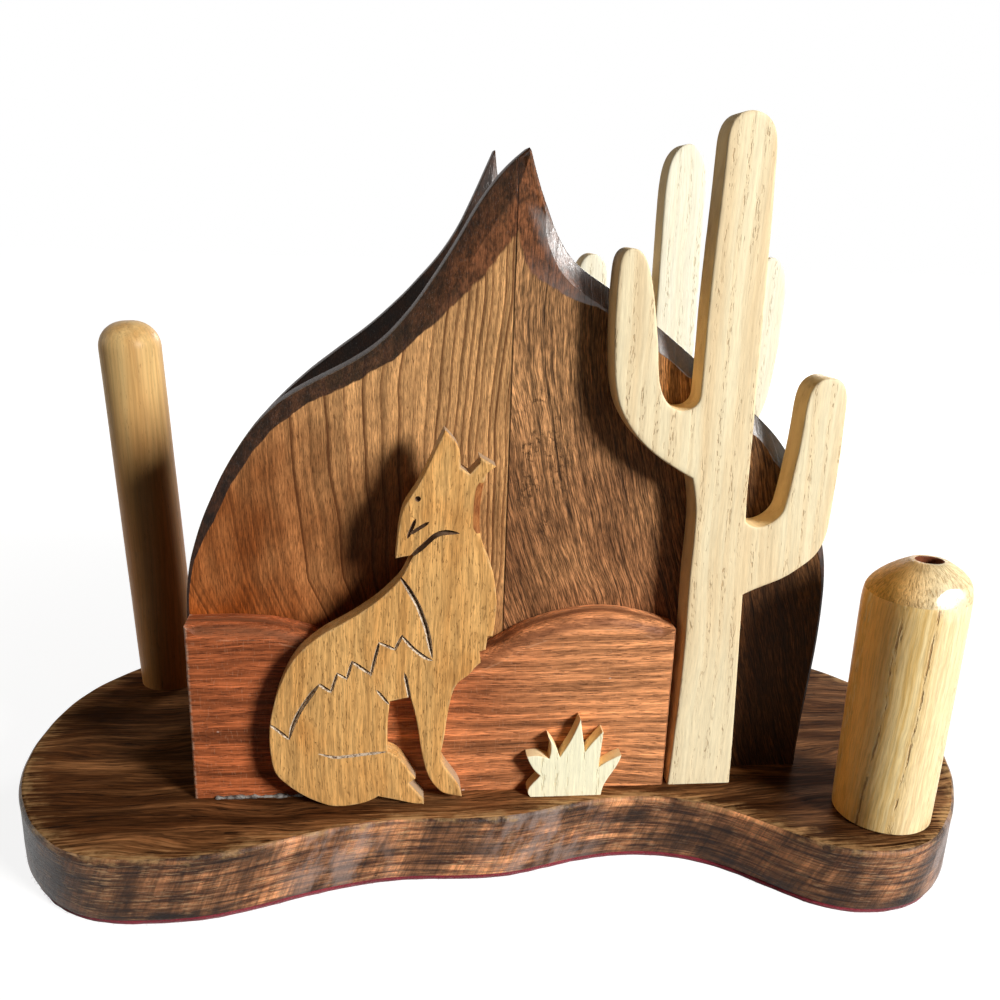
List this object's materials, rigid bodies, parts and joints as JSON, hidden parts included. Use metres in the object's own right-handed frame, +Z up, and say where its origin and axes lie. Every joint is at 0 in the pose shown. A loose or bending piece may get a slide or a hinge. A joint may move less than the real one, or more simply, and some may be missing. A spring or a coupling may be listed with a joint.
{
  "type": "napkin holder",
  "caption": "Wooden napkin holder: two mountain-shaped panels on a wavy felt-footed base, with a howling coyote, saguaros, a tall peg and a lift-off toothpick cup.",
  "frame": {"origin": "middle of the footprint, on the underside of the felt", "axes": "+X to the right along the panels, +Y to the back, +Z up"},
  "size_m": [0.2932, 0.144, 0.2099],
  "materials": {
    "stained_oak": "satin",
    "panel_cherry": "satin",
    "hill_mahogany": "satin",
    "coyote_tan": "satin",
    "pale_ash": "satin",
    "agave_pine": "satin",
    "peg_maple": "satin",
    "cup_ash": "satin",
    "felt_red": "matte",
    "screw_steel": "zinc plated"
  },
  "bodies": {
    "holder": {"base_board": "stained_oak", "felt_pad": "felt_red", "front_panel_left_board": "panel_cherry", "front_panel_right_board": "panel_cherry", "front_panel_screws": "screw_steel", "rear_panel_left_board": "panel_cherry", "rear_panel_right_board": "panel_cherry", "rear_panel_screws": "screw_steel", "hill_panel": "hill_mahogany", "coyote": "coyote_tan", "front_cactus": "pale_ash", "rear_cactus": "pale_ash", "agave_bush": "agave_pine", "ring_peg": "peg_maple", "cup_pin": "peg_maple"},
    "cup": {"toothpick_cup": "cup_ash"}
  },
  "joints": [
    {"name": "cup_lift", "type": "slide", "parent": "holder", "child": "cup", "axis": [0, 0, 1], "range_m": [0, 0.06]}
  ]
}
